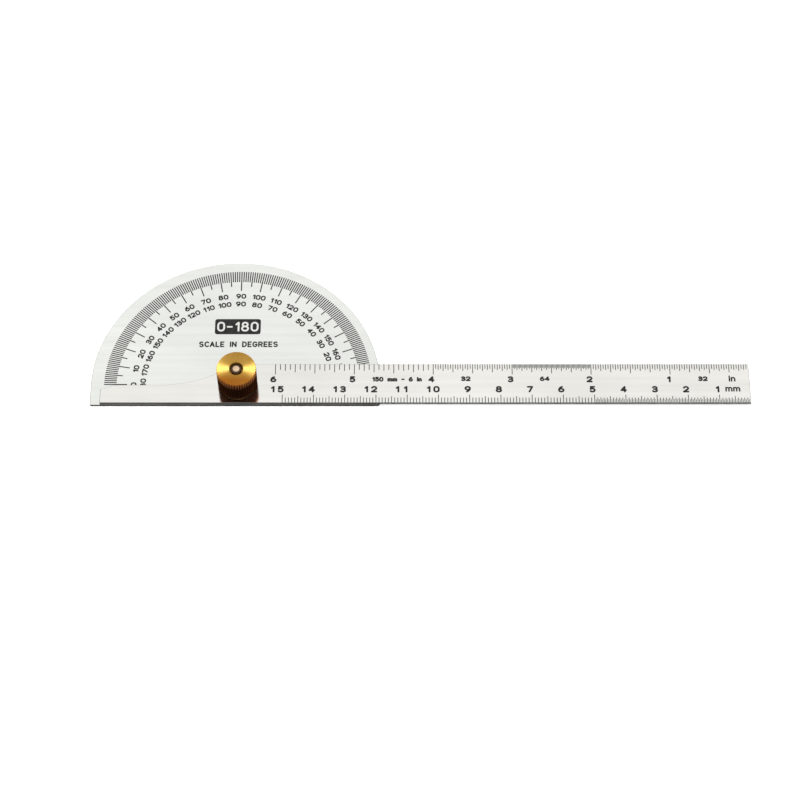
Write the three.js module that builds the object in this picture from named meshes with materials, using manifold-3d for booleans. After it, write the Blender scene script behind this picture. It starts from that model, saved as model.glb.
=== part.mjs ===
// Protractor with a swinging rule arm, in millimetres, +Z up.
//
// A D-shaped steel head carries a degree scale. A 6 inch rule arm lies on it and turns about a stud
// at the centre of the arc. A knurled brass thumb nut on the stud clamps the arm at any angle.
// The origin is on the pivot axis, in the plane of the head's back face. +X runs along the arm to its
// free end, +Y to the 90 degree mark, and +Z from the back to the graduated faces.

import * as THREE from 'three';
import { mergeVertices } from 'three/addons/utils/BufferGeometryUtils.js';
import Module from 'manifold-3d';

const wasm = await Module();
wasm.setup();

// Sheet metal. The head's arc is centred a little to the tail's side of the pivot.
const SHEET = 0.8;
const HEAD_RADIUS = 46.4;
const HEAD_OFFSET = -0.8;
const BASE_DROP = 7.6;
const HEAD_CORNER = 0.6;

// Rule arm: a 6 inch scale that starts at the free end
const ARM_HALF = 7.2;
const SCALE_LENGTH = 6 * 25.4;
const SCALE_START = 12;
const ARM_REACH = SCALE_LENGTH + SCALE_START;

// Tail of the arm: a half-width blade whose upper edge is the index for the degree scale
const INDEX_Y = -0.6;
const INDEX_START = -25.5;
const INDEX_TIP = -39.5;
const TAIL_REACH = -44;
const TAIL_END_Y = -2.2;
const FLARE_RADIUS = 42;
const SHOULDER_RADIUS = 10;

// Pivot stud: clinched flush into the head, threaded above it, end peened over
const STUD_RADIUS = 1.5;
const STUD_HEAD_RADIUS = 2.4;
const STUD_HEAD_DEPTH = 0.5;
const PEEN_RADIUS = 1.8;
const PEEN_FLAT_RADIUS = 1.1;
const PEEN_EDGE = 0.15;
const PEEN_DOME = 0.35;
const RUNNING_GAP = 0.06;

// Thumb nut with a washer held on its swaged boss
const NUT_RADIUS = 6.35;
const NUT_TOP = 10.9;
const NUT_CHAMFER = 0.35;
const NUT_TRAVEL = 1.5;
const KNURL_COUNT = 48;
const KNURL_DEPTH = 0.3;
const RECESS_RADIUS = 2.3;
const RECESS_MARGIN = 0.1;
const WASHER_RADIUS = 5.9;
const WASHER_THICKNESS = 0.6;
const BOSS_RADIUS = 2.8;
const BOSS_FLARE = 0.35;

const ROUND_SIDES = 64;
const HEAD_ARC_STEPS = 48;

const ARM_TOP = 2 * SHEET;
const NUT_BASE = ARM_TOP + WASHER_THICKNESS;
const PEEN_BASE = NUT_TOP - RECESS_MARGIN - PEEN_DOME - PEEN_EDGE;
const RECESS_FLOOR = PEEN_BASE - NUT_TRAVEL - RUNNING_GAP;

const steel = new THREE.MeshStandardMaterial({ color: 0xdcdedd, roughness: 0.25, metalness: 1 });
const bareSteel = new THREE.MeshStandardMaterial({ color: 0xb9babb, roughness: 0.35, metalness: 1 });
const brass = new THREE.MeshStandardMaterial({ color: 0xd0a03a, roughness: 0.28, metalness: 1 });

function circlePath(radius) {
  const path = new THREE.Path();
  path.absarc(0, 0, radius, 0, 2 * Math.PI, true);
  return path;
}

function flatPiece(shape, z, thickness, steps) {
  const geometry = new THREE.ExtrudeGeometry(shape, {
    depth: thickness,
    bevelEnabled: false,
    curveSegments: steps,
  });
  geometry.translate(0, 0, z);
  return geometry;
}

// A turned piece: the profile is a list of [radius, z] points around +Z.
function turned(profile, sides = ROUND_SIDES) {
  const points = profile.map(([radius, z]) => new THREE.Vector2(radius, z));
  const geometry = new THREE.LatheGeometry(points, sides);
  geometry.rotateX(Math.PI / 2);
  return geometry;
}

function toSolid(geometry) {
  const bare = geometry.clone();
  bare.deleteAttribute('normal');
  bare.deleteAttribute('uv');
  const merged = mergeVertices(bare, 1e-4);
  return new wasm.Manifold(new wasm.Mesh({
    numProp: 3,
    vertProperties: new Float32Array(merged.attributes.position.array),
    triVerts: new Uint32Array(merged.index.array),
  }));
}

function fromSolid(solid) {
  const mesh = solid.getMesh();
  const geometry = new THREE.BufferGeometry();
  geometry.setAttribute('position', new THREE.BufferAttribute(mesh.vertProperties, 3));
  geometry.setIndex(new THREE.BufferAttribute(mesh.triVerts, 1));
  geometry.computeVertexNormals();
  return geometry;
}

// Half disc above the pivot, with a straight band below it down to the base edge.
function headOutline() {
  const left = HEAD_OFFSET - HEAD_RADIUS;
  const right = HEAD_OFFSET + HEAD_RADIUS;
  const shape = new THREE.Shape();
  shape.moveTo(right, 0);
  shape.absarc(HEAD_OFFSET, 0, HEAD_RADIUS, 0, Math.PI, false);
  shape.lineTo(left, HEAD_CORNER - BASE_DROP);
  shape.lineTo(left + HEAD_CORNER, -BASE_DROP);
  shape.lineTo(right - HEAD_CORNER, -BASE_DROP);
  shape.lineTo(right, HEAD_CORNER - BASE_DROP);
  shape.closePath();
  return shape;
}

// The stud's clinched head sits in a shallow pocket in the back of the plate.
function headPlate() {
  const pocketRadius = STUD_HEAD_RADIUS + RUNNING_GAP;
  const outline = headOutline();
  outline.holes.push(circlePath(STUD_RADIUS + RUNNING_GAP));
  const pocket = new THREE.CylinderGeometry(
    pocketRadius, pocketRadius, 2 * STUD_HEAD_DEPTH, ROUND_SIDES);
  pocket.rotateX(Math.PI / 2);
  const plate = toSolid(flatPiece(outline, 0, SHEET, HEAD_ARC_STEPS));
  return fromSolid(plate.subtract(toSolid(pocket)));
}

// Lower edge straight for the whole length; upper edge drops in an S from full width to the index edge.
function armOutline() {
  const rise = ARM_HALF - INDEX_Y;
  const sweep = Math.acos(1 - rise / (FLARE_RADIUS + SHOULDER_RADIUS));
  const shoulderX = INDEX_START + (FLARE_RADIUS + SHOULDER_RADIUS) * Math.sin(sweep);
  const down = -Math.PI / 2;
  const shape = new THREE.Shape();
  shape.moveTo(ARM_REACH, -ARM_HALF);
  shape.lineTo(ARM_REACH, ARM_HALF);
  shape.lineTo(shoulderX, ARM_HALF);
  shape.absarc(shoulderX, ARM_HALF - SHOULDER_RADIUS, SHOULDER_RADIUS, -down, -down + sweep, false);
  shape.absarc(INDEX_START, INDEX_Y + FLARE_RADIUS, FLARE_RADIUS, down + sweep, down, true);
  shape.lineTo(INDEX_TIP, INDEX_Y);
  shape.lineTo(TAIL_REACH, TAIL_END_Y);
  shape.lineTo(TAIL_REACH, -ARM_HALF);
  shape.closePath();
  shape.holes.push(circlePath(STUD_RADIUS + RUNNING_GAP));
  return shape;
}

function ruleArm() {
  return flatPiece(armOutline(), SHEET, SHEET, ROUND_SIDES / 4);
}

// Smooth cylinder where the real stud is threaded.
function pivotStud() {
  return turned([
    [0, 0],
    [STUD_HEAD_RADIUS, 0],
    [STUD_HEAD_RADIUS, STUD_HEAD_DEPTH - RUNNING_GAP],
    [STUD_RADIUS, STUD_HEAD_DEPTH - RUNNING_GAP],
    [STUD_RADIUS, PEEN_BASE],
    [PEEN_RADIUS, PEEN_BASE],
    [PEEN_RADIUS, PEEN_BASE + PEEN_EDGE],
    [PEEN_FLAT_RADIUS, PEEN_BASE + PEEN_EDGE + PEEN_DOME],
    [0, PEEN_BASE + PEEN_EDGE + PEEN_DOME],
  ]);
}

// The washer's hole opens out below, where the nut's boss is swaged into it.
function clampWasher() {
  const hole = BOSS_RADIUS + RUNNING_GAP;
  const middle = ARM_TOP + WASHER_THICKNESS / 2;
  return turned([
    [hole + BOSS_FLARE, ARM_TOP],
    [WASHER_RADIUS, ARM_TOP],
    [WASHER_RADIUS, NUT_BASE],
    [hole, NUT_BASE],
    [hole, middle],
    [hole + BOSS_FLARE, ARM_TOP],
  ]);
}

function knurlOutline() {
  const shape = new THREE.Shape();
  for (let i = 0; i < 2 * KNURL_COUNT; i += 1) {
    const angle = Math.PI * i / KNURL_COUNT;
    const radius = i % 2 ? NUT_RADIUS - KNURL_DEPTH : NUT_RADIUS;
    const x = radius * Math.cos(angle);
    const y = radius * Math.sin(angle);
    if (i) shape.lineTo(x, y); else shape.moveTo(x, y);
  }
  shape.closePath();
  return shape;
}

// A turned blank with the boss, bore and top recess, cut back to the knurl's outline.
function thumbNut() {
  const bore = STUD_RADIUS + RUNNING_GAP;
  const bossEnd = ARM_TOP + RUNNING_GAP;
  const middle = ARM_TOP + WASHER_THICKNESS / 2;
  const blank = turned([
    [bore, bossEnd],
    [BOSS_RADIUS + BOSS_FLARE - RUNNING_GAP, bossEnd],
    [BOSS_RADIUS, middle],
    [BOSS_RADIUS, NUT_BASE],
    [NUT_RADIUS - NUT_CHAMFER, NUT_BASE],
    [NUT_RADIUS, NUT_BASE + NUT_CHAMFER],
    [NUT_RADIUS, NUT_TOP - NUT_CHAMFER],
    [NUT_RADIUS - NUT_CHAMFER, NUT_TOP],
    [RECESS_RADIUS, NUT_TOP],
    [RECESS_RADIUS, RECESS_FLOOR],
    [bore, RECESS_FLOOR],
    [bore, bossEnd],
  ], 2 * KNURL_COUNT);
  const knurl = flatPiece(knurlOutline(), 0, NUT_TOP + SHEET, 1);
  return fromSolid(toSolid(blank).intersect(toSolid(knurl)));
}

function piece(name, geometry, material) {
  const mesh = new THREE.Mesh(geometry, material);
  mesh.name = name;
  return mesh;
}

const protractor = new THREE.Group();
protractor.add(piece('head_plate', headPlate(), steel));
protractor.add(piece('pivot_stud', pivotStud(), bareSteel));
protractor.add(piece('rule_arm', ruleArm(), steel));
protractor.add(piece('clamp_washer', clampWasher(), brass));
protractor.add(piece('thumb_nut', thumbNut(), brass));

export default protractor;
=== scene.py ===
"""Looks of the rule-arm protractor: steel head and arm, printed scales, brass thumb nut and stud.

Lengths are written in millimetres and turned into metres by MM. Positions come from the CAD frame.
"""

import math

import bpy
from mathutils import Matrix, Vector
from mathutils.geometry import tessellate_polygon


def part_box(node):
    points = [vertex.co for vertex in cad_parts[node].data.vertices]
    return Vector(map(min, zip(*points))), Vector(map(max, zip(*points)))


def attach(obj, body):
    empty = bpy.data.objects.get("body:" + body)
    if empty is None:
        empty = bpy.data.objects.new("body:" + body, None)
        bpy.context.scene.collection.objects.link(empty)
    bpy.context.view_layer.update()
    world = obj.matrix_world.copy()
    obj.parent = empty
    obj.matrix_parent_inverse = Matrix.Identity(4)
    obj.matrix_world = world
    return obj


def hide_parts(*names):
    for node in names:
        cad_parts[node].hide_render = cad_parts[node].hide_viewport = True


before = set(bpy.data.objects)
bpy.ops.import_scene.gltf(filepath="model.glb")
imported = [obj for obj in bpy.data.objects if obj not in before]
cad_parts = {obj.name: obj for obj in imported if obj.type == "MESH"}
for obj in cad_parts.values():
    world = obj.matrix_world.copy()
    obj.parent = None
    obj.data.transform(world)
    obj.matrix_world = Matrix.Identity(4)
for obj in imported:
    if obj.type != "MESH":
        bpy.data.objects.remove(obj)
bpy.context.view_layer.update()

MM = 0.001

# Places and sizes taken from the CAD frame
HEAD_LOW, HEAD_HIGH = (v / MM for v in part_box("head_plate"))
ARM_LOW, ARM_HIGH = (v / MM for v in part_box("rule_arm"))
STUD_TOP = (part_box("pivot_stud")[1] / MM).z
WASHER_LOW, WASHER_HIGH = (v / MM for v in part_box("clamp_washer"))
NUT_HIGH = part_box("thumb_nut")[1] / MM

HEAD_CENTRE_X = (HEAD_HIGH.x + HEAD_LOW.x) / 2
HEAD_RADIUS = (HEAD_HIGH.x - HEAD_LOW.x) / 2
HEAD_TOP = HEAD_HIGH.z
BASE_Y = HEAD_LOW.y
ARM_HALF = ARM_HIGH.y
ARM_REACH = ARM_HIGH.x
ARM_TOP = ARM_HIGH.z
NUT_RADIUS = NUT_HIGH.x
NUT_TOP = NUT_HIGH.z
NUT_BASE = WASHER_HIGH.z

# Sheet metal
EDGE_BREAK = 0.12
HEAD_CORNER = 0.6
ARM_LIFT = 0.03
BORE_RADIUS = 1.56
POCKET_RADIUS = 2.46
POCKET_DEPTH = 0.5

# Points along the outlines
ARC_STEPS = 240
CORNER_STEPS = 6
BORE_STEPS = 64
SHOULDER_STEPS = 16
FLARE_STEPS = 40

# Edges bent more than this many degrees are drawn sharp
SHEET_SHARP = 20
TURNED_SHARP = 32

# Texture coordinates of a point are its X and Y in metres, times UV_SCALE, plus UV_SHIFT
UV_SCALE = 4
UV_SHIFT = 0.3

# Tail of the arm
INDEX_Y = -0.6
INDEX_START = -25.5
INDEX_TIP = -39.5
TAIL_END_Y = -2.2
FLARE_RADIUS = 42.0
SHOULDER_RADIUS = 10.0

# Printed marks: how far they stand proud of the face and reach into it
FILM = 0.01
FILM_SINK = 0.01
STROKE_STEP = 0.003


# ---------------------------------------------------------------- node helpers


class Nodes:
    """A node tree with short ways to add and link nodes."""

    def __init__(self, tree):
        self.tree = tree
        tree.nodes.clear()

    def add(self, kind, **settings):
        node = self.tree.nodes.new(kind)
        for key, value in settings.items():
            if hasattr(node, key):
                setattr(node, key, value)
            else:
                node.inputs[key.replace("_", " ")].default_value = value
        return node

    def link(self, source, target):
        self.tree.links.new(source, target)

    def maths(self, operation, first, second=None):
        node = self.add("ShaderNodeMath", operation=operation)
        for slot, value in zip(node.inputs, (first, second)):
            if isinstance(value, (int, float)):
                slot.default_value = value
            elif value is not None:
                self.link(value, slot)
        return node.outputs[0]

    def place(self, scale):
        """Object coordinates, stretched by scale, in units per metre."""
        coords = self.add("ShaderNodeTexCoord")
        mapping = self.add("ShaderNodeMapping")
        mapping.inputs["Scale"].default_value = scale
        self.link(coords.outputs["Object"], mapping.inputs["Vector"])
        return mapping.outputs["Vector"]

    def noise(self, scale, detail=3.0, roughness=0.5):
        node = self.add("ShaderNodeTexNoise", Scale=1.0, Detail=detail, Roughness=roughness)
        self.link(self.place(scale), node.inputs["Vector"])
        return node.outputs["Fac"]

    def span(self, value, low, high, to_low, to_high, smooth=False):
        """value, mapped from low..high to to_low..to_high and held there."""
        node = self.add("ShaderNodeMapRange", clamp=True)
        if smooth:
            node.interpolation_type = "SMOOTHSTEP"
        for name, number in zip(("From Min", "From Max", "To Min", "To Max"),
                                (low, high, to_low, to_high)):
            node.inputs[name].default_value = number
        self.link(value, node.inputs["Value"])
        return node.outputs["Result"]

    def blend(self, factor, first, second):
        """Colour between first and second; each is an rgb triple or a colour socket."""
        node = self.add("ShaderNodeMix", data_type="RGBA")
        self.link(factor, node.inputs["Factor"])
        for slot, value in ((node.inputs[6], first), (node.inputs[7], second)):
            if isinstance(value, tuple):
                slot.default_value = (*value, 1.0)
            else:
                self.link(value, slot)
        return node.outputs[2]

    def bump(self, height, distance, strength=1.0):
        node = self.add("ShaderNodeBump", Strength=strength, Distance=distance)
        self.link(height, node.inputs["Height"])
        return node.outputs["Normal"]


def new_material(name, metallic):
    material = bpy.data.materials.new(name)
    material.use_nodes = True
    nodes = Nodes(material.node_tree)
    shader = nodes.add("ShaderNodeBsdfPrincipled", Metallic=metallic)
    output = nodes.add("ShaderNodeOutputMaterial")
    nodes.link(shader.outputs["BSDF"], output.inputs["Surface"])
    return material, nodes, shader


# ------------------------------------------------------------------- materials


def satin_steel(name, dark, light):
    """Ground and polished sheet with fine lines along X and faint handling marks."""
    material, nodes, shader = new_material(name, 1.0)
    clouds = nodes.noise((22.0, 34.0, 22.0), detail=4.0)
    grain = nodes.noise((18.0, 2600.0, 60.0), detail=4.0, roughness=0.65)
    streaks = nodes.noise((9.0, 420.0, 60.0), detail=3.0)
    smears = nodes.noise((70.0, 120.0, 70.0), detail=5.0, roughness=0.6)

    tone = nodes.blend(nodes.span(clouds, 0.35, 0.65, 0.0, 1.0), dark, light)
    streaked = nodes.blend(nodes.span(streaks, 0.3, 0.75, 0.0, 0.35), tone, (0.66, 0.655, 0.63))
    nodes.link(streaked, shader.inputs["Base Color"])

    rough = nodes.maths("ADD", nodes.span(smears, 0.3, 0.7, 0.08, 0.13),
                        nodes.span(grain, 0.3, 0.7, -0.02, 0.03))
    nodes.link(rough, shader.inputs["Roughness"])
    nodes.link(nodes.bump(grain, 0.000004, 0.6), shader.inputs["Normal"])

    shader.inputs["Anisotropic"].default_value = 0.35
    shader.inputs["Anisotropic Rotation"].default_value = 0.25
    tangent = nodes.add("ShaderNodeTangent", direction_type="UV_MAP", uv_map="UVMap")
    nodes.link(tangent.outputs["Tangent"], shader.inputs["Tangent"])
    return material


def cut_edge_steel():
    """Sheared and deburred edge of the sheet, given a dark colour that is painted shade, with fine lines
    across the thickness.
    """
    material, nodes, shader = new_material("cut_edge_steel", 1.0)
    lines = nodes.noise((2400.0, 2400.0, 60.0), detail=3.0, roughness=0.6)
    band = nodes.noise((60.0, 60.0, 1400.0), detail=2.0)
    # Painted shade: a dark grey that stands in for the shade along the sheet's edges.
    tone = nodes.blend(nodes.span(band, 0.35, 0.65, 0.0, 1.0), (0.13, 0.127, 0.123), (0.25, 0.245, 0.24))
    nodes.link(tone, shader.inputs["Base Color"])
    nodes.link(nodes.span(lines, 0.3, 0.7, 0.24, 0.42), shader.inputs["Roughness"])
    nodes.link(nodes.bump(lines, 0.000008, 0.5), shader.inputs["Normal"])
    return material


def etched_black():
    """Matt black fill of the marks, a little worn and uneven."""
    material, nodes, shader = new_material("etched_black", 0.0)
    wear = nodes.noise((900.0, 900.0, 900.0), detail=4.0, roughness=0.6)
    tone = nodes.blend(nodes.span(wear, 0.35, 0.75, 0.0, 1.0), (0.004, 0.004, 0.004), (0.018, 0.017, 0.016))
    nodes.link(tone, shader.inputs["Base Color"])
    nodes.link(nodes.span(wear, 0.3, 0.7, 0.45, 0.65), shader.inputs["Roughness"])
    nodes.link(nodes.bump(wear, 0.000003, 0.5), shader.inputs["Normal"])
    shader.inputs["Specular IOR Level"].default_value = 0.3
    return material


def radius_from_axis(nodes):
    """Distance from the Z axis, and the Y and Z coordinates, in metres."""
    coords = nodes.add("ShaderNodeTexCoord")
    parts = nodes.add("ShaderNodeSeparateXYZ")
    nodes.link(coords.outputs["Object"], parts.inputs["Vector"])
    x_squared = nodes.maths("MULTIPLY", parts.outputs["X"], parts.outputs["X"])
    y_squared = nodes.maths("MULTIPLY", parts.outputs["Y"], parts.outputs["Y"])
    radius = nodes.maths("SQRT", nodes.maths("ADD", x_squared, y_squared))
    return radius, parts.outputs["Y"], parts.outputs["Z"]


def turned_brass():
    """Brass turned on its faces, with tool rings round the axis, and painted shade: a darker orange towards
    -Y.
    """
    material, nodes, shader = new_material("turned_brass", 1.0)
    radius, side, _ = radius_from_axis(nodes)
    rings = nodes.add("ShaderNodeTexNoise", noise_dimensions="1D", Scale=1.0, Detail=3.0)
    nodes.link(nodes.maths("MULTIPLY", radius, 9000.0), rings.inputs["W"])
    mottle = nodes.noise((420.0, 420.0, 420.0), detail=4.0)
    tone = nodes.blend(nodes.span(mottle, 0.3, 0.7, 0.0, 1.0), (0.58, 0.32, 0.060), (0.66, 0.39, 0.085))
    ringed = nodes.blend(nodes.span(rings.outputs["Fac"], 0.35, 0.75, 0.0, 0.35), tone, (0.44, 0.20, 0.028))
    # Painted shade: the -Y half of the face is blended towards a darker orange, broken up by noise.
    painted_shade_noise = nodes.noise((160.0, 160.0, 160.0), detail=3.0)
    minus_y_side_mask = nodes.span(side, -5.0 * MM, -0.5 * MM, 1.0, 0.0, smooth=True)
    painted_side_shade = nodes.maths("MULTIPLY", minus_y_side_mask, nodes.span(painted_shade_noise, 0.3, 0.6, 0.6, 1.0))
    nodes.link(nodes.blend(painted_side_shade, ringed, (0.47, 0.145, 0.012)), shader.inputs["Base Color"])
    nodes.link(nodes.span(rings.outputs["Fac"], 0.3, 0.7, 0.38, 0.50), shader.inputs["Roughness"])
    nodes.link(nodes.bump(rings.outputs["Fac"], 0.00001, 0.4), shader.inputs["Normal"])
    shader.inputs["Anisotropic"].default_value = 0.92
    shader.inputs["Anisotropic Rotation"].default_value = 0.25
    tangent = nodes.add("ShaderNodeTangent", direction_type="RADIAL", axis="Z")
    nodes.link(tangent.outputs["Tangent"], shader.inputs["Tangent"])
    return material


def knurled_brass():
    """Brass of the knurled rim: bright on the crests and dark with tarnish in the valleys, with painted
    shade making it near black low down.
    """
    material, nodes, shader = new_material("knurled_brass", 1.0)
    radius, _, height = radius_from_axis(nodes)
    low_rim, high_rim = (NUT_RADIUS - KNURL_DEPTH) * MM, NUT_RADIUS * MM
    crest = nodes.span(radius, low_rim, high_rim, 0.0, 1.0, smooth=True)
    # Painted shade: the rim is light near the top and fades to near black lower down.
    painted_shade_by_height = nodes.span(height, (NUT_TOP - 3.2) * MM, (NUT_TOP - 0.2) * MM, 0.0, 1.0, smooth=True)
    patches = nodes.noise((700.0, 700.0, 500.0), detail=4.0)
    bright = nodes.maths("MULTIPLY", nodes.maths("ADD", nodes.maths("MULTIPLY", crest, 0.55), 0.45),
                         nodes.maths("ADD", nodes.maths("MULTIPLY", painted_shade_by_height, 1.3), 0.05))
    uneven = nodes.maths("MULTIPLY", bright, nodes.span(patches, 0.3, 0.7, 0.75, 1.15))
    tone = nodes.blend(nodes.span(uneven, 0.0, 1.0, 0.0, 1.0), (0.017, 0.008, 0.006), (1.0, 0.40, 0.16))
    nodes.link(tone, shader.inputs["Base Color"])
    nodes.link(nodes.span(uneven, 0.0, 0.8, 0.5, 0.3), shader.inputs["Roughness"])
    nodes.link(nodes.bump(patches, 0.00001, 0.4), shader.inputs["Normal"])
    shader.inputs["Specular Tint"].default_value = (0.45, 0.36, 0.30, 1.0)
    return material


def dull_brass():
    """Very dark brass of the washer."""
    material, nodes, shader = new_material("dull_brass", 1.0)
    mottle = nodes.noise((500.0, 500.0, 500.0), detail=5.0, roughness=0.6)
    tone = nodes.blend(nodes.span(mottle, 0.3, 0.7, 0.0, 1.0), (0.06, 0.035, 0.015), (0.20, 0.12, 0.04))
    nodes.link(tone, shader.inputs["Base Color"])
    nodes.link(nodes.span(mottle, 0.3, 0.7, 0.5, 0.34), shader.inputs["Roughness"])
    nodes.link(nodes.bump(mottle, 0.00002, 0.5), shader.inputs["Normal"])
    return material


def stud_steel():
    """Turned steel, lightly hammered on the peened end, with a warm tint that is a painted reflection of
    the brass round it, and painted shade that makes it dark beyond its bright middle.
    """
    material, nodes, shader = new_material("stud_steel", 1.0)
    dents = nodes.noise((1300.0, 1300.0, 1300.0), detail=2.0)
    grime = nodes.noise((600.0, 600.0, 600.0), detail=5.0)
    # Painted reflection: the steel is given the warm colour of the brass recess around it.
    tone = nodes.blend(nodes.span(grime, 0.35, 0.7, 0.0, 1.0), (0.84, 0.62, 0.42), (0.60, 0.42, 0.27))
    radius, _, _ = radius_from_axis(nodes)
    # Painted shade: beyond the flat middle of the peened end the colour turns near black.
    bright_end, dark_start = (PEEN_FLAT_RADIUS - 0.2) * MM, (PEEN_FLAT_RADIUS + 0.1) * MM
    rim = nodes.span(radius, bright_end, dark_start, 0.0, 1.0, smooth=True)
    nodes.link(nodes.blend(rim, tone, (0.10, 0.06, 0.035)), shader.inputs["Base Color"])
    nodes.link(nodes.span(grime, 0.3, 0.7, 0.22, 0.38), shader.inputs["Roughness"])
    nodes.link(nodes.bump(dents, 0.00004, 0.35), shader.inputs["Normal"])
    return material


def floor_white():
    material, nodes, shader = new_material("floor_white", 0.0)
    speckle = nodes.noise((400.0, 400.0, 400.0), detail=3.0)
    tone = nodes.blend(nodes.span(speckle, 0.3, 0.7, 0.0, 1.0), (0.90, 0.90, 0.90), (0.92, 0.92, 0.92))
    nodes.link(tone, shader.inputs["Base Color"])
    shader.inputs["Roughness"].default_value = 0.9
    shader.inputs["Specular IOR Level"].default_value = 0.1
    return material


# -------------------------------------------------------------- mesh helpers


def add_object(name, vertices, faces, materials, face_slots=None, smooth_angle=None):
    """A mesh object from points in millimetres. Edges bent more than smooth_angle stay sharp."""
    mesh = bpy.data.meshes.new(name)
    mesh.from_pydata([Vector(v) * MM for v in vertices], [], faces)
    for material in materials:
        mesh.materials.append(material)
    if face_slots:
        mesh.polygons.foreach_set("material_index", face_slots)
    if smooth_angle is not None:
        mesh.shade_smooth()
        mesh.set_sharp_from_angle(angle=math.radians(smooth_angle))
    uv_layer = mesh.uv_layers.new(name="UVMap")
    for loop in mesh.loops:
        point = mesh.vertices[loop.vertex_index].co
        uv_layer.data[loop.index].uv = (point.x * UV_SCALE + UV_SHIFT, point.y * UV_SCALE + UV_SHIFT)
    mesh.update()
    piece = bpy.data.objects.new(name, mesh)
    bpy.context.scene.collection.objects.link(piece)
    return piece


def arc(centre_x, centre_y, radius, start, end, steps):
    """Points on an arc, angles in radians, both ends included."""
    angles = (start + (end - start) * i / steps for i in range(steps + 1))
    return [(centre_x + radius * math.cos(a), centre_y + radius * math.sin(a)) for a in angles]


def circle(radius, steps, clockwise=False):
    points = arc(0, 0, radius, 0, 2 * math.pi, steps)[:-1]
    return points[::-1] if clockwise else points


def inset(loop, distance):
    """The loop moved to its left by distance, with mitred corners."""
    moved = []
    for i, (x, y) in enumerate(loop):
        before = Vector((x, y)) - Vector(loop[i - 1])
        after = Vector(loop[(i + 1) % len(loop)]) - Vector((x, y))
        left_a = Vector((-before.y, before.x)).normalized()
        left_b = Vector((-after.y, after.x)).normalized()
        shift = (left_a + left_b) * (distance / (1 + left_a.dot(left_b)))
        moved.append((x + shift.x, y + shift.y))
    return moved


def sheet_piece(name, walls, materials):
    """A flat piece. walls is a list of (loop, [(inset, z), ...]) with the outer loop first, running
    anticlockwise, and holes clockwise. Each wall goes up from the low face to the high face."""
    vertices, faces, slots = [], [], []
    low_rings, high_rings = [], []
    for loop, profile in walls:
        count = len(loop)
        first = len(vertices)
        for distance, z in profile:
            vertices += [(x, y, z) for x, y in (inset(loop, distance) if distance else loop)]
        for level in range(len(profile) - 1):
            for i in range(count):
                a = first + level * count + i
                b = first + level * count + (i + 1) % count
                faces.append((a, b, b + count, a + count))
                slots.append(1)
        low_rings.append([first + i for i in range(count)])
        high_rings.append([first + (len(profile) - 1) * count + i for i in range(count)])
    for rings, turned_over in ((high_rings, False), (low_rings, True)):
        flat = [i for ring in rings for i in ring]
        polygons = [[Vector((vertices[i][0], vertices[i][1], 0)) for i in ring] for ring in rings]
        for triangle in tessellate_polygon(polygons):
            a, b, c = (Vector(vertices[flat[i]]) for i in triangle)
            points_up = (b - a).cross(c - a).z > 0
            corners = [flat[i] for i in triangle]
            faces.append(corners[::-1] if points_up == turned_over else corners)
            slots.append(0)
    return add_object(name, vertices, faces, materials, slots, SHEET_SHARP)


def revolve(profile, steps, radius_at=None):
    """Vertices and faces of a closed profile of (radius, z) points turned round Z. A point at radius 0
    becomes one pole. radius_at(radius, angle, z) may change the radius."""
    vertices, faces, rings = [], [], []
    for radius, z in profile:
        if radius == 0:
            rings.append([len(vertices)] * steps)
            vertices.append((0, 0, z))
            continue
        rings.append([len(vertices) + i for i in range(steps)])
        for i in range(steps):
            angle = 2 * math.pi * i / steps
            r = radius_at(radius, angle, z) if radius_at else radius
            vertices.append((r * math.cos(angle), r * math.sin(angle), z))
    closed = profile[0][0] > 0
    pairs = zip(rings, rings[1:] + rings[:1]) if closed else zip(rings, rings[1:])
    for low, high in pairs:
        for i in range(steps):
            j = (i + 1) % steps
            corners = []
            for index in (low[i], low[j], high[j], high[i]):
                if index not in corners:
                    corners.append(index)
            faces.append(corners)
    return vertices, faces


# ------------------------------------------------------------------ head plate


def edge_profile(low, high):
    """Wall of a sheet with its two edges broken."""
    return [(EDGE_BREAK, low), (0, low + EDGE_BREAK), (0, high - EDGE_BREAK), (EDGE_BREAK, high)]


def head_outline():
    corner_x = HEAD_RADIUS - HEAD_CORNER
    corner_y = BASE_Y + HEAD_CORNER
    quarter = math.pi / 2
    outline = arc(HEAD_CENTRE_X, 0, HEAD_RADIUS, 0, math.pi, ARC_STEPS)
    outline += arc(HEAD_CENTRE_X - corner_x, corner_y, HEAD_CORNER, math.pi, math.pi + quarter,
                   CORNER_STEPS)
    outline += arc(HEAD_CENTRE_X + corner_x, corner_y, HEAD_CORNER, -quarter, 0, CORNER_STEPS)
    return outline


def make_head(steel, edge):
    pocket = POCKET_RADIUS - BORE_RADIUS
    stepped = [(pocket + EDGE_BREAK, 0), (pocket, EDGE_BREAK), (pocket, POCKET_DEPTH),
               (0, POCKET_DEPTH), (0, HEAD_TOP - EDGE_BREAK), (EDGE_BREAK, HEAD_TOP)]
    walls = [(head_outline(), edge_profile(0, HEAD_TOP)),
             (circle(BORE_RADIUS, BORE_STEPS, clockwise=True), stepped)]
    return sheet_piece("head_plate_skin", walls, [steel, edge])


# -------------------------------------------------------------------- rule arm


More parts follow.
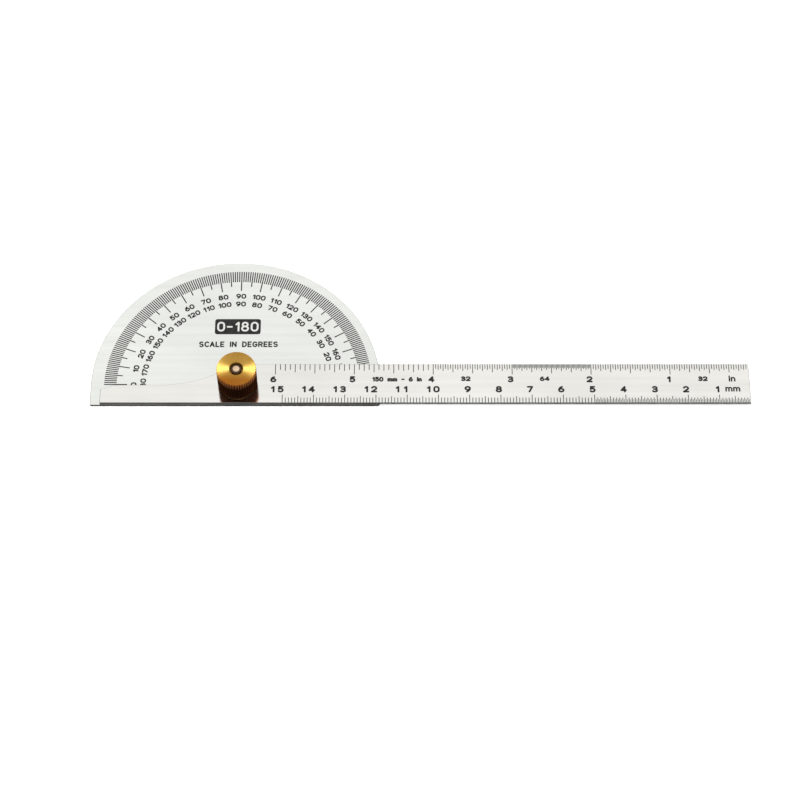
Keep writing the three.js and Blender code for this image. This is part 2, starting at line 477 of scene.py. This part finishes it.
def arm_outline():
    rise = ARM_HALF - INDEX_Y
    sweep = math.acos(1 - rise / (FLARE_RADIUS + SHOULDER_RADIUS))
    shoulder_x = INDEX_START + (FLARE_RADIUS + SHOULDER_RADIUS) * math.sin(sweep)
    up = math.pi / 2
    outline = [(ARM_REACH, -ARM_HALF), (ARM_REACH, ARM_HALF)]
    outline += arc(shoulder_x, ARM_HALF - SHOULDER_RADIUS, SHOULDER_RADIUS, up, up + sweep,
                   SHOULDER_STEPS)
    outline += arc(INDEX_START, INDEX_Y + FLARE_RADIUS, FLARE_RADIUS, -up + sweep, -up,
                   FLARE_STEPS)[1:]
    outline += [(INDEX_TIP, INDEX_Y), (ARM_LOW.x, TAIL_END_Y), (ARM_LOW.x, -ARM_HALF)]
    return outline


def make_arm(steel, edge):
    profile = edge_profile(HEAD_TOP + ARM_LIFT, ARM_TOP)
    walls = [(arm_outline(), profile),
             (circle(BORE_RADIUS, BORE_STEPS, clockwise=True), profile)]
    return sheet_piece("rule_arm_skin", walls, [steel, edge])


# ------------------------------------------------------------ stroke lettering

# Each character is a list of strokes on a grid one unit high. A stroke is a list of points (x, y) and
# arcs (centre x, centre y, radius x, radius y, start, end) in degrees. "closed" joins its ends.
CLOSED = "closed"
CHARACTERS = {
    "0": [[(0.3, 0.68, 0.3, 0.32, 0, 180), (0.3, 0.32, 0.3, 0.32, 180, 360), CLOSED]],
    "1": [[(0.08, 0.76), (0.32, 1.0), (0.32, 0.0)]],
    "2": [[(0.3, 0.7, 0.29, 0.3, 165, -35), (0.0, 0.0), (0.6, 0.0)]],
    "3": [[(0.28, 0.76, 0.27, 0.24, 150, -90), (0.17, 0.52)],
          [(0.2, 0.52), (0.28, 0.26, 0.3, 0.26, 90, -145)]],
    "4": [[(0.45, 0.0), (0.45, 1.0), (0.0, 0.3), (0.62, 0.3)]],
    "5": [[(0.54, 1.0), (0.1, 1.0), (0.06, 0.56)], [(0.28, 0.32, 0.3, 0.32, 140, -145)]],
    "6": [[(0.3, 0.3, 0.3, 0.3, 0, 360), CLOSED], [(0.5, 0.3, 0.5, 0.7, 180, 100)]],
    "7": [[(0.0, 1.0), (0.58, 1.0), (0.2, 0.0)]],
    "8": [[(0.3, 0.76, 0.25, 0.24, 0, 360), CLOSED], [(0.3, 0.27, 0.3, 0.27, 0, 360), CLOSED]],
    "9": [[(0.3, 0.7, 0.3, 0.3, 0, 360), CLOSED], [(0.1, 0.7, 0.5, 0.7, 0, -80)]],
    "-": [[(0.0, 0.48), (0.42, 0.48)]],
    "A": [[(0.0, 0.0), (0.33, 1.0), (0.66, 0.0)], [(0.12, 0.33), (0.54, 0.33)]],
    "C": [[(0.34, 0.5, 0.34, 0.5, 45, 315)]],
    "D": [[(0.0, 0.0), (0.22, 0.5, 0.38, 0.5, -90, 90), (0.0, 1.0), CLOSED]],
    "E": [[(0.5, 1.0), (0.0, 1.0), (0.0, 0.0), (0.5, 0.0)], [(0.0, 0.5), (0.42, 0.5)]],
    "G": [[(0.35, 0.5, 0.35, 0.5, 45, 330), (0.66, 0.46), (0.4, 0.46)]],
    "I": [[(0.0, 0.0), (0.0, 1.0)]],
    "L": [[(0.0, 1.0), (0.0, 0.0), (0.48, 0.0)]],
    "N": [[(0.0, 0.0), (0.0, 1.0), (0.6, 0.0), (0.6, 1.0)]],
    "R": [[(0.0, 0.0), (0.0, 1.0)],
          [(0.0, 1.0), (0.3, 0.74, 0.29, 0.26, 90, -90), (0.0, 0.48)],
          [(0.3, 0.48), (0.58, 0.0)]],
    "S": [[(0.3, 0.75, 0.28, 0.25, 35, 270), (0.3, 0.25, 0.3, 0.25, 90, -145)]],
    "i": [[(0.0, 0.0), (0.0, 0.66)], [(0.0, 0.86), (0.0, 0.96)]],
    "m": [[(0.0, 0.0), (0.0, 0.66)],
          [(0.0, 0.4), (0.19, 0.44, 0.19, 0.22, 180, 0), (0.38, 0.0)],
          [(0.38, 0.4), (0.57, 0.44, 0.19, 0.22, 180, 0), (0.76, 0.0)]],
    "n": [[(0.0, 0.0), (0.0, 0.66)], [(0.0, 0.42), (0.21, 0.43, 0.21, 0.23, 180, 0), (0.42, 0.0)]],
}
ARC_STEP = 18
SAME_POINT = 0.02
SPACE_WIDTH = 0.5
SHARP_TURN = math.cos(math.radians(100))
CAP_ANGLES = (35, 68)


def stroke_points(stroke):
    """The stroke's points in order, with its arcs drawn out, and whether it is closed."""
    points = []
    closed = stroke[-1] == CLOSED
    for part in stroke[:-1] if closed else stroke:
        if len(part) == 2:
            points.append(Vector(part))
            continue
        centre_x, centre_y, radius_x, radius_y, start, end = part
        steps = max(2, round(abs(end - start) / ARC_STEP))
        for i in range(steps + 1):
            angle = math.radians(start + (end - start) * i / steps)
            points.append(Vector((centre_x + radius_x * math.cos(angle),
                                  centre_y + radius_y * math.sin(angle))))
    apart = [p for i, p in enumerate(points) if i == 0 or (p - points[i - 1]).length > SAME_POINT]
    if closed and (apart[0] - apart[-1]).length < SAME_POINT:
        apart.pop()
    return apart, closed


def left_of(direction):
    return Vector((-direction.y, direction.x))


def runs(points, closed):
    """The stroke's points, parted at corners that turn back too sharply for a mitre."""
    if closed:
        return [points]
    cuts = [0]
    for i in range(1, len(points) - 1):
        before = (points[i] - points[i - 1]).normalized()
        after = (points[i + 1] - points[i]).normalized()
        if before.dot(after) < SHARP_TURN:
            cuts.append(i)
    cuts.append(len(points) - 1)
    return [points[start:end + 1] for start, end in zip(cuts, cuts[1:])]


def stations(points, closed, half):
    """Left and right edge points along a stroke of the given half width, with rounded ends."""
    count = len(points)
    pairs = []
    for i, point in enumerate(points):
        before = (point - points[i - 1]).normalized() if i or closed else None
        after = (points[(i + 1) % count] - point).normalized() if i < count - 1 or closed else None
        first, second = left_of(before or after), left_of(after or before)
        side = (first + second).normalized()
        side *= half / side.dot(first)
        pairs.append((point + side, point - side))
    if closed:
        return pairs
    head = (points[0] - points[1]).normalized()
    tail = (points[-1] - points[-2]).normalized()
    for angle in map(math.radians, CAP_ANGLES):
        reach, width = half * math.sin(angle), half * math.cos(angle)
        start, end = points[0] + head * reach, points[-1] + tail * reach
        pairs.insert(0, (start - left_of(head) * width, start + left_of(head) * width))
        pairs.append((end + left_of(tail) * width, end - left_of(tail) * width))
    return pairs


def character_width(character):
    """Width of the character for a height of one unit."""
    if character == " ":
        return SPACE_WIDTH
    return max(p.x for stroke in CHARACTERS[character] for p in stroke_points(stroke)[0])


# ---------------------------------------------------------------- printed marks


class Marks:
    """Collects thin marks that lie on a face at height z and makes them one mesh."""

    def __init__(self, z):
        self.low, self.high = z - FILM_SINK, z + FILM
        self.strokes = 0
        self.vertices = []
        self.faces = []

    def prism(self, corners):
        """A thin solid over an anticlockwise polygon."""
        first, count = len(self.vertices), len(corners)
        for z in (self.low, self.high):
            self.vertices += [(x, y, z) for x, y in corners]
        self.faces.append([first + count + i for i in range(count)])
        self.faces.append([first + i for i in range(count)][::-1])
        for i in range(count):
            j = (i + 1) % count
            self.faces.append([first + i, first + j, first + count + j, first + count + i])

    def ribbon(self, pairs, closed):
        """A thin solid along a stroke, from its left and right edge points. Three strokes in a row differ
        in height, so that where strokes cross their faces don't coincide."""
        first, count = len(self.vertices), len(pairs)
        self.strokes += 1
        high = self.high + STROKE_STEP * (self.strokes % 3)
        for left, right in pairs:
            self.vertices += [(*right, self.low), (*left, self.low), (*left, high), (*right, high)]
        for i in range(count if closed else count - 1):
            here, there = first + 4 * i, first + 4 * ((i + 1) % count)
            for corner in range(4):
                following = (corner + 1) % 4
                self.faces.append([here + corner, here + following, there + following, there + corner])
        if not closed:
            self.faces.append([first + i for i in (3, 2, 1, 0)])
            self.faces.append([first + 4 * (count - 1) + i for i in range(4)])

    def line(self, start, end, width):
        """A straight line of the given width, with square ends."""
        start, end = Vector(start), Vector(end)
        side = left_of((end - start).normalized()) * width / 2
        self.prism([start - side, end - side, end + side, start + side])

    def text(self, words, centre, height, weight, turn=0.0, gap=0.28, wide=1.0):
        """words centred on centre, with characters of the given height and stroke weight."""
        widths = [character_width(c) * wide for c in words]
        pen = -(sum(widths) + gap * (len(words) - 1)) / 2
        cos, sin = math.cos(turn), math.sin(turn)
        for character, width in zip(words, widths):
            for stroke in CHARACTERS.get(character, ()):
                points, closed = stroke_points(stroke)
                placed = []
                for point in points:
                    x, y = (pen + point.x * wide) * height, (point.y - 0.5) * (height - weight)
                    placed.append(Vector((centre[0] + x * cos - y * sin, centre[1] + x * sin + y * cos)))
                for run in runs(placed, closed):
                    self.ribbon(stations(run, closed, weight / 2), closed)
            pen += width + gap

    def finish(self, name, material):
        return add_object(name, self.vertices, self.faces, [material])


# ---------------------------------------------------------------- degree scale

DEGREE_OUTER = 43.0
DEGREE_LINE = 0.37
DEGREE_INNER = {1: 39.0, 5: 37.3, 10: 35.6}
OUTER_ROW = 33.5
INNER_ROW = 30.5
DEGREE_DIGIT = 1.9
DEGREE_WEIGHT = 0.46
DEGREE_GAP = 0.3
BADGE_CENTRE = (-0.7, 21.8)
BADGE_SIZE = (14.9, 5.8)
BADGE_CORNER = 0.8
BADGE_CORNER_STEPS = 5
BADGE_DIGIT = 3.7
BADGE_WEIGHT = 0.6
BADGE_GAP = 0.31
BADGE_WIDE = 0.88
WORDS_CENTRE = (-0.3, 15.1)
WORDS_HEIGHT = 2.15
WORDS_WEIGHT = 0.47
WORDS_GAP = 0.3
WORDS_WIDE = 0.86


def step_of(value, steps):
    """The largest of the steps that divides value."""
    return max(step for step in steps if value % step == 0)


def make_degree_ticks(black):
    marks = Marks(HEAD_TOP)
    for degree in range(181):
        angle = math.radians(degree)
        direction = Vector((math.cos(angle), math.sin(angle)))
        inner = DEGREE_INNER[step_of(degree, DEGREE_INNER)]
        marks.line(direction * inner, direction * DEGREE_OUTER, DEGREE_LINE)
    return marks.finish("degree_ticks", black)


def make_degree_numbers(black):
    marks = Marks(HEAD_TOP)
    for degree in range(0, 181, 10):
        angle = math.radians(degree)
        for row, value in ((OUTER_ROW, 180 - degree), (INNER_ROW, degree)):
            centre = (row * math.cos(angle), row * math.sin(angle))
            marks.text(str(value), centre, DEGREE_DIGIT, DEGREE_WEIGHT, turn=angle - math.pi / 2,
                       gap=DEGREE_GAP)
    return marks.finish("degree_numbers", black)


def make_badge(black, steel):
    """A plain bar with the scale's range on it, and a line of small words under it."""
    marks = Marks(HEAD_TOP)
    half_x, half_y = BADGE_SIZE[0] / 2, BADGE_SIZE[1] / 2
    quarter = math.pi / 2
    corners = []
    for i, (sx, sy) in enumerate(((1, 1), (-1, 1), (-1, -1), (1, -1))):
        corners += arc(BADGE_CENTRE[0] + sx * (half_x - BADGE_CORNER),
                       BADGE_CENTRE[1] + sy * (half_y - BADGE_CORNER),
                       BADGE_CORNER, i * quarter, (i + 1) * quarter, BADGE_CORNER_STEPS)
    marks.prism(corners)
    marks.text("SCALE IN DEGREES", WORDS_CENTRE, WORDS_HEIGHT, WORDS_WEIGHT,
               gap=WORDS_GAP, wide=WORDS_WIDE)
    bar = marks.finish("range_badge", black)
    letters = Marks(HEAD_TOP + FILM)
    letters.text("0-180", BADGE_CENTRE, BADGE_DIGIT, BADGE_WEIGHT, gap=BADGE_GAP, wide=BADGE_WIDE)
    return bar, letters.finish("range_badge_figures", steel)


# ------------------------------------------------------------------ rule scales

INCH = 25.4
LINE_WIDTH = 0.24
SCALE_MM = 150
MM_LENGTHS = {1: 1.9, 5: 2.4, 10: 3.0}
HALF_MM_LENGTH = 1.3
HALF_MM_WIDTH = 0.8 * LINE_WIDTH
HALF_MM_RUN = 50
CM_ROW = -2.2
INCH_ROW = 1.5
CM_DIGIT = 2.4
INCH_DIGIT = 2.3
RULE_WEIGHT = 0.62
SMALL_DIGIT = 1.8
SMALL_WEIGHT = 0.52
SMALL_RISE = 0.2
UNIT_HEIGHT = 2.4
UNIT_WEIGHT = 0.5
UNIT_RISE = 0.3
UNIT_INSET = 5.6
CAPTION_X = 51.1
CAPTION_GAP = 0.29
CAPTION_WIDE = 0.8
PAIR_PITCH = 2.6
NUMBER_SHIFT = -0.6
INCH_TICKS = {1: 3.9, 2: 3.5, 4: 3.1, 8: 2.6, 16: 2.2, 32: 1.8, 64: 1.4}
INCH_FINENESS = (32, 32, 64, 32, 16, 16)
LABELLED_INCHES = (0, 2, 3)
LABEL_PLACE = 0.59


def from_end(distance):
    """X of a point that far along the scale from the arm's free end."""
    return ARM_REACH - distance


def make_mm_ticks(black):
    marks = Marks(ARM_TOP)
    low = -ARM_HALF + EDGE_BREAK
    for half in range(1, 2 * SCALE_MM + 1):
        whole, is_half = divmod(half, 2)
        if is_half and half > 2 * HALF_MM_RUN:
            continue
        length = HALF_MM_LENGTH if is_half else MM_LENGTHS[step_of(whole, MM_LENGTHS)]
        x = from_end(half / 2)
        marks.line((x, low), (x, -ARM_HALF + length), HALF_MM_WIDTH if is_half else LINE_WIDTH)
    return marks.finish("millimetre_ticks", black)


def make_inch_ticks(black):
    marks = Marks(ARM_TOP)
    high = ARM_HALF - EDGE_BREAK
    for inch, fineness in enumerate(INCH_FINENESS):
        for part in range(1, fineness + 1):
            divisor = fineness // math.gcd(part, fineness)
            x = from_end((inch + part / fineness) * INCH)
            marks.line((x, ARM_HALF - INCH_TICKS[divisor]), (x, high), LINE_WIDTH)
    return marks.finish("inch_ticks", black)


def make_rule_numbers(black):
    marks = Marks(ARM_TOP)
    for centimetre in range(1, 16):
        for place, figure in enumerate(reversed(str(centimetre))):
            x = from_end(10 * centimetre) + NUMBER_SHIFT - PAIR_PITCH * place
            marks.text(figure, (x, CM_ROW), CM_DIGIT, RULE_WEIGHT)
    for inch in range(1, 7):
        x = from_end(INCH * inch) + NUMBER_SHIFT
        marks.text(str(inch), (x, INCH_ROW), INCH_DIGIT, RULE_WEIGHT)
    for inch in LABELLED_INCHES:
        centre = (from_end(INCH * (inch + LABEL_PLACE)), INCH_ROW + SMALL_RISE)
        marks.text(str(INCH_FINENESS[inch]), centre, SMALL_DIGIT, SMALL_WEIGHT)
    for unit, row in (("in", INCH_ROW), ("mm", CM_ROW)):
        marks.text(unit, (from_end(UNIT_INSET), row + UNIT_RISE), UNIT_HEIGHT, UNIT_WEIGHT)
    marks.text("150 mm - 6 in", (CAPTION_X, INCH_ROW), SMALL_DIGIT, SMALL_WEIGHT,
               gap=CAPTION_GAP, wide=CAPTION_WIDE)
    return marks.finish("rule_numbers", black)


# ------------------------------------------------------------------ pivot parts

# Knurl: a power below 1 makes its crests wider than its valleys
KNURL_COUNT = 48
KNURL_DEPTH = 0.3
KNURL_POWER = 0.7
KNURL_SAMPLES = 8

# Nut: chamfers, recess and boss, and the feed marks turned into its face
NUT_CHAMFER = 0.35
RECESS_RADIUS = 2.3
RECESS_DEPTH = 2.16
BOSS_RADIUS = 2.8
BOSS_FLARE = 0.35
RUNNING_GAP = 0.06
FEED_PITCH = 0.24
FEED_DEPTH = 0.02
FEED_START = 0.1
FEED_MARGIN = 0.3
RECESS_BREAK = 0.12

# Stud: clinched head, peened end and thread
STUD_RADIUS = 1.5
STUD_HEAD_RADIUS = 2.4
STUD_HEAD_DEPTH = 0.44
PEEN_RADIUS = 1.8
PEEN_FLAT_RADIUS = 1.1
PEEN_EDGE = 0.15
PEEN_DOME = 0.35
THREAD_PITCH = 0.5
THREAD_DEPTH = 0.28
THREAD_STEPS = 8

# Turned pieces: points round the stud and the washer, points along a rounding, and small bevels
STUD_STEPS = 96
WASHER_STEPS = 128
ROUNDING_STEPS = 6
BEVEL = 0.1


def wave(turns):
    """1 on a crest and 0 in a valley, once each turn."""
    return 0.5 + 0.5 * math.cos(2 * math.pi * turns)


def knurled(radius, angle, z):
    """The radius, cut back to the knurl's crests and valleys."""
    valley = 1 - wave(KNURL_COUNT * angle / (2 * math.pi)) ** KNURL_POWER
    return min(radius, NUT_RADIUS - KNURL_DEPTH * valley)


def nut_profile():
    """Boss, rim, turned top face and recess, from the bottom of the bore round to it again."""
    boss_end = ARM_TOP + RUNNING_GAP
    middle = ARM_TOP + (NUT_BASE - ARM_TOP) / 2
    profile = [(BORE_RADIUS, boss_end), (BOSS_RADIUS + BOSS_FLARE - RUNNING_GAP, boss_end),
               (BOSS_RADIUS, middle), (BOSS_RADIUS, NUT_BASE)]
    for i in range(ROUNDING_STEPS + 1):
        angle = math.pi / 2 * i / ROUNDING_STEPS
        profile.append((NUT_RADIUS - NUT_CHAMFER + NUT_CHAMFER * math.sin(angle),
                        NUT_BASE + NUT_CHAMFER - NUT_CHAMFER * math.cos(angle)))
    for i in range(ROUNDING_STEPS + 1):
        angle = math.pi / 2 * i / ROUNDING_STEPS
        profile.append((NUT_RADIUS - NUT_CHAMFER + NUT_CHAMFER * math.cos(angle),
                        NUT_TOP - NUT_CHAMFER + NUT_CHAMFER * math.sin(angle)))
    face_width = NUT_RADIUS - NUT_CHAMFER - RECESS_RADIUS
    rings = 2 * round((face_width - FEED_MARGIN) / FEED_PITCH)
    for i in range(1, rings + 1):
        radius = NUT_RADIUS - NUT_CHAMFER - FEED_START - FEED_PITCH / 2 * (i - 1)
        profile.append((radius, NUT_TOP - (FEED_DEPTH if i % 2 == 0 else 0.0)))
    profile += [(RECESS_RADIUS + RECESS_BREAK, NUT_TOP), (RECESS_RADIUS, NUT_TOP - RECESS_BREAK),
                (RECESS_RADIUS, NUT_TOP - RECESS_DEPTH), (BORE_RADIUS, NUT_TOP - RECESS_DEPTH)]
    return profile


def make_nut(turned, rim):
    vertices, faces = revolve(nut_profile(), KNURL_COUNT * KNURL_SAMPLES, knurled)
    slots = []
    for face in faces:
        x, y, z = (sum(vertices[i][axis] for i in face) / len(face) for axis in range(3))
        on_face = z > NUT_TOP - NUT_CHAMFER / 2 or math.hypot(x, y) < RECESS_RADIUS + 0.1
        slots.append(0 if on_face else 1)
    return add_object("thumb_nut_skin", vertices, faces, [turned, rim], slots, TURNED_SHARP)


def threaded(radius, angle, z):
    """Ridge of the thread along the stud's shank; other radii are left alone."""
    if radius != STUD_RADIUS:
        return radius
    turns = z / THREAD_PITCH - angle / (2 * math.pi)
    ridge = abs(2 * (turns % 1.0) - 1)
    return radius - THREAD_DEPTH * (1 - ridge)


def stud_profile():
    """Clinched head, threaded shank and peened end, from the middle of the back to that of the top."""
    neck = STUD_RADIUS - THREAD_DEPTH
    peen_low = STUD_TOP - PEEN_DOME - PEEN_EDGE
    profile = [(0, 0), (STUD_HEAD_RADIUS - BEVEL, 0), (STUD_HEAD_RADIUS, BEVEL),
               (STUD_HEAD_RADIUS, STUD_HEAD_DEPTH), (neck, STUD_HEAD_DEPTH), (neck, HEAD_TOP)]
    rings = round((peen_low - HEAD_TOP) / THREAD_PITCH * THREAD_STEPS)
    profile += [(STUD_RADIUS, HEAD_TOP + (peen_low - HEAD_TOP) * i / rings) for i in range(1, rings)]
    profile += [(neck, peen_low), (PEEN_RADIUS - BEVEL, peen_low), (PEEN_RADIUS, peen_low + BEVEL),
                (PEEN_RADIUS, peen_low + PEEN_EDGE)]
    for i in range(1, ROUNDING_STEPS + 1):
        angle = math.pi / 2 * i / ROUNDING_STEPS
        profile.append((PEEN_FLAT_RADIUS + (PEEN_RADIUS - PEEN_FLAT_RADIUS) * math.cos(angle),
                        STUD_TOP - PEEN_DOME + PEEN_DOME * math.sin(angle)))
    return profile + [(0, STUD_TOP)]


def make_stud(steel):
    vertices, faces = revolve(stud_profile(), STUD_STEPS, threaded)
    return add_object("pivot_stud_skin", vertices, faces, [steel], smooth_angle=TURNED_SHARP)


def make_washer(brass):
    hole = BOSS_RADIUS + RUNNING_GAP
    middle = (WASHER_LOW.z + WASHER_HIGH.z) / 2
    radius = WASHER_HIGH.x
    profile = [(hole + BOSS_FLARE, WASHER_LOW.z), (radius - BEVEL, WASHER_LOW.z),
               (radius, WASHER_LOW.z + BEVEL), (radius, WASHER_HIGH.z - BEVEL),
               (radius - BEVEL, WASHER_HIGH.z), (hole, WASHER_HIGH.z), (hole, middle)]
    vertices, faces = revolve(profile, WASHER_STEPS)
    return add_object("clamp_washer_skin", vertices, faces, [brass], smooth_angle=TURNED_SHARP)


# ----------------------------------------------------------- camera and lights

CAMERA_TARGET = (52.1, -5.27, 0.0)
CAMERA_ELEVATION = 60.2
CAMERA_DISTANCE = 785.0
CAMERA_LENS = 110.2

# Lights: the soft boxes stand this many metres from the middle of the object
BOX_DISTANCE = 1.2
COOL_WHITE = (0.55, 0.74, 1.0)

FLOOR_HALF = 4000.0
FLOOR_Z = -0.02


def make_camera():
    lift = math.radians(CAMERA_ELEVATION)
    back = Vector((0, -math.cos(lift), math.sin(lift)))
    data = bpy.data.cameras.new("camera")
    data.lens = CAMERA_LENS
    data.clip_start, data.clip_end = 0.02, 50
    camera = bpy.data.objects.new("camera", data)
    camera.location = (Vector(CAMERA_TARGET) + back * CAMERA_DISTANCE) * MM
    camera.rotation_mode = "QUATERNION"
    camera.rotation_quaternion = (-back).to_track_quat("-Z", "Y")
    bpy.context.scene.collection.objects.link(camera)
    bpy.context.scene.camera = camera


def area_light(name, direction, size, radiance):
    """A rectangular soft box of the given radiance that faces the middle of the object."""
    data = bpy.data.lights.new(name, "AREA")
    data.shape = "RECTANGLE"
    data.size, data.size_y = size
    data.energy = radiance * math.pi * size[0] * size[1]
    light = bpy.data.objects.new(name, data)
    aim = Vector(direction).normalized()
    light.location = aim * BOX_DISTANCE + Vector((CAMERA_TARGET[0] * MM, 0, 0))
    light.rotation_mode = "QUATERNION"
    light.rotation_quaternion = aim.to_track_quat("Z", "Y")
    bpy.context.scene.collection.objects.link(light)
    return light


def sun_light(name, direction, irradiance, spread):
    """A soft sun, spread degrees across, that shows in no reflection."""
    data = bpy.data.lights.new(name, "SUN")
    data.energy = irradiance
    data.angle = math.radians(spread)
    light = bpy.data.objects.new(name, data)
    light.rotation_mode = "QUATERNION"
    light.rotation_quaternion = Vector(direction).normalized().to_track_quat("Z", "Y")
    light.visible_glossy = False
    bpy.context.scene.collection.objects.link(light)


def make_world():
    """Pale surroundings, brightest near the horizon and dark below, as in a small studio."""
    world = bpy.data.worlds.new("studio")
    world.use_nodes = True
    nodes = Nodes(world.node_tree)
    coords = nodes.add("ShaderNodeTexCoord")
    parts = nodes.add("ShaderNodeSeparateXYZ")
    nodes.link(coords.outputs["Generated"], parts.inputs["Vector"])
    rising = nodes.span(parts.outputs["Z"], -0.62, -0.42, 0.05, 0.85, smooth=True)
    upper = nodes.span(parts.outputs["Z"], 0.20, 0.60, 1.0, 0.70, smooth=True)
    level = nodes.maths("MULTIPLY", rising, upper)
    background = nodes.add("ShaderNodeBackground")
    background.inputs["Color"].default_value = (1.0, 1.0, 1.0, 1)
    nodes.link(level, background.inputs["Strength"])
    output = nodes.add("ShaderNodeOutputWorld")
    nodes.link(background.outputs["Background"], output.inputs["Surface"])
    bpy.context.scene.world = world


def make_floor():
    corners = [(x * FLOOR_HALF, y * FLOOR_HALF, FLOOR_Z) for x, y in ((-1, -1), (1, -1), (1, 1), (-1, 1))]
    floor = add_object("floor", corners, [(0, 1, 2, 3)], [floor_white()])
    floor.visible_glossy = False


def make_lights(brass_only):
    """A large soft box overhead, a small cool one on each side for the brass nut alone, and three suns."""
    area_light("overhead_box", (0, 0.36, 0.93), (1.5, 1.15), 0.43)
    for name, side in (("left_box", -1), ("right_box", 1)):
        box = area_light(name, (0.64 * side, 0.50, 0.58), (0.5, 0.5), 17.0)
        box.data.color = COOL_WHITE
        box.light_linking.receiver_collection = brass_only
    sun_light("fill_back", (-0.35, 0.45, 0.82), 1.6, 40)
    sun_light("fill_front", (0.25, -0.75, 0.62), 1.8, 40)
    sun_light("fill_top", (0.1, -0.1, 0.99), 1.4, 60)


# --------------------------------------------------------------------- assembly


def settle(piece, body, slot, *nodes):
    """Put the piece on its body and hide the CAD nodes it stands for; slot is not used."""
    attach(piece, body)
    if nodes:
        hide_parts(*nodes)


scene = bpy.context.scene
scene.view_settings.view_transform = "Standard"

brass_only = bpy.data.collections.new("brass_only")
make_camera()
make_world()
make_lights(brass_only)
make_floor()

head_steel = satin_steel("head_steel", (0.80, 0.815, 0.775), (0.88, 0.895, 0.85))
arm_steel = satin_steel("arm_steel", (0.81, 0.80, 0.76), (0.89, 0.88, 0.84))
edge_steel = cut_edge_steel()
black = etched_black()

settle(make_head(head_steel, edge_steel), "head", "head_steel", "head_plate")
settle(make_degree_ticks(black), "head", "etched_black")
settle(make_degree_numbers(black), "head", "etched_black")
badge, badge_figures = make_badge(black, head_steel)
settle(badge, "head", "etched_black")
settle(badge_figures, "head", "head_steel")
settle(make_stud(stud_steel()), "head", "stud_steel", "pivot_stud")

settle(make_arm(arm_steel, edge_steel), "arm", "arm_steel", "rule_arm")
settle(make_mm_ticks(black), "arm", "etched_black")
settle(make_inch_ticks(black), "arm", "etched_black")
settle(make_rule_numbers(black), "arm", "etched_black")

settle(make_washer(dull_brass()), "washer", "washer_brass", "clamp_washer")
nut = make_nut(turned_brass(), knurled_brass())
settle(nut, "nut", "nut_brass", "thumb_nut")
brass_only.objects.link(nut)
